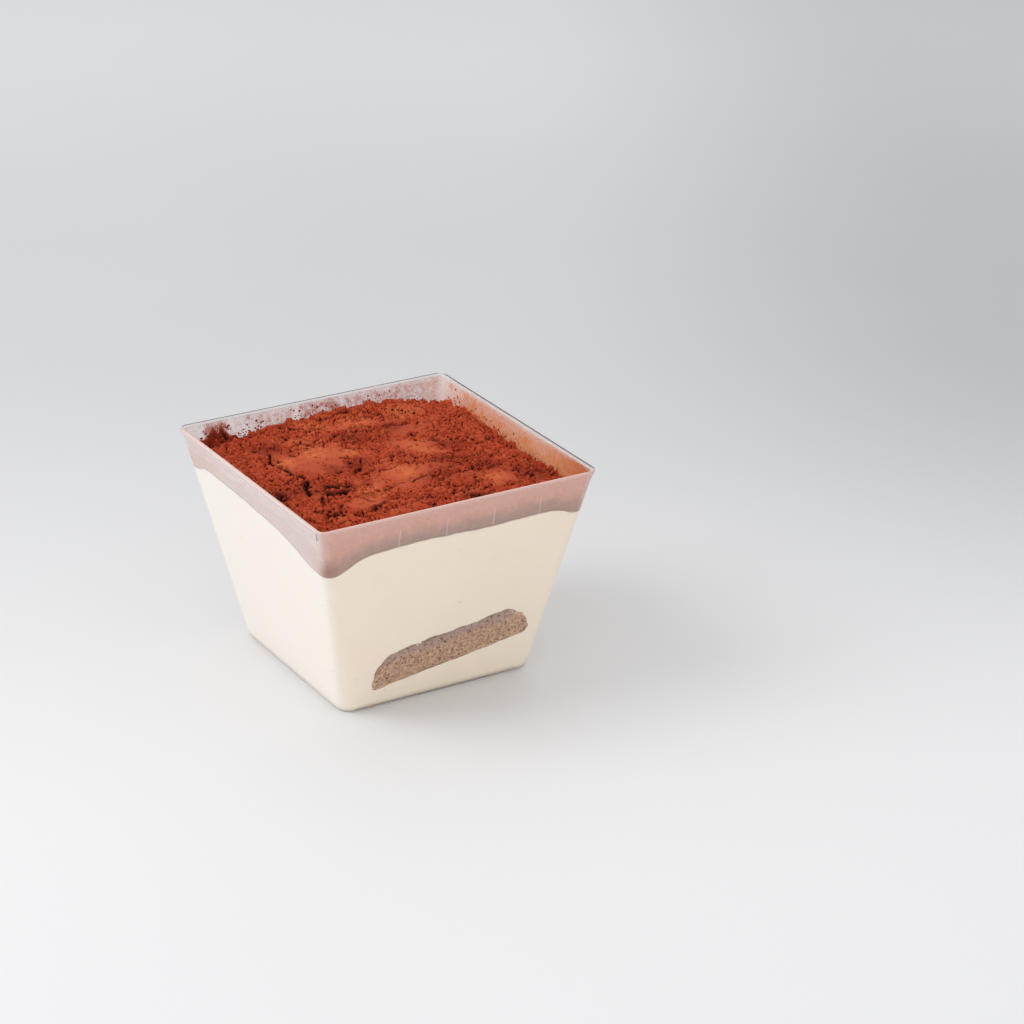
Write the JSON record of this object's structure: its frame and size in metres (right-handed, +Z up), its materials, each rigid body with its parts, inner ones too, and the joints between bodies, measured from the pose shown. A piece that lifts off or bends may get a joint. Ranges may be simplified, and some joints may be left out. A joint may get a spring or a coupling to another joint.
{
  "type": "tiramisu in a square clear cup",
  "caption": "Tiramisu in a tapered square clear cup: whipped cream over a slab of soaked sponge, under a crumbly layer of cocoa.",
  "frame": {"origin": "middle of the cup's base, on the surface that the cup stands on", "axes": "+Z up out of the cup's mouth; the wall where the sponge shows clearest faces -Y"},
  "size_m": [0.076, 0.076, 0.055],
  "materials": {
    "clear_plastic": "clear moulded plastic, glossy, thinly dusted with cocoa inside above the filling",
    "cream": "pale ivory whipped cream pressed smooth against the cup, with a few small bubbles",
    "sponge": "open-pored sponge soaked tan, greyer along its upper edge",
    "cocoa": "dry red-brown powder, lumpy, with darker cracks"
  },
  "bodies": {
    "root": {"cup": "clear_plastic", "cream": "cream", "sponge": "sponge", "cocoa": "cocoa"}
  },
  "joints": []
}
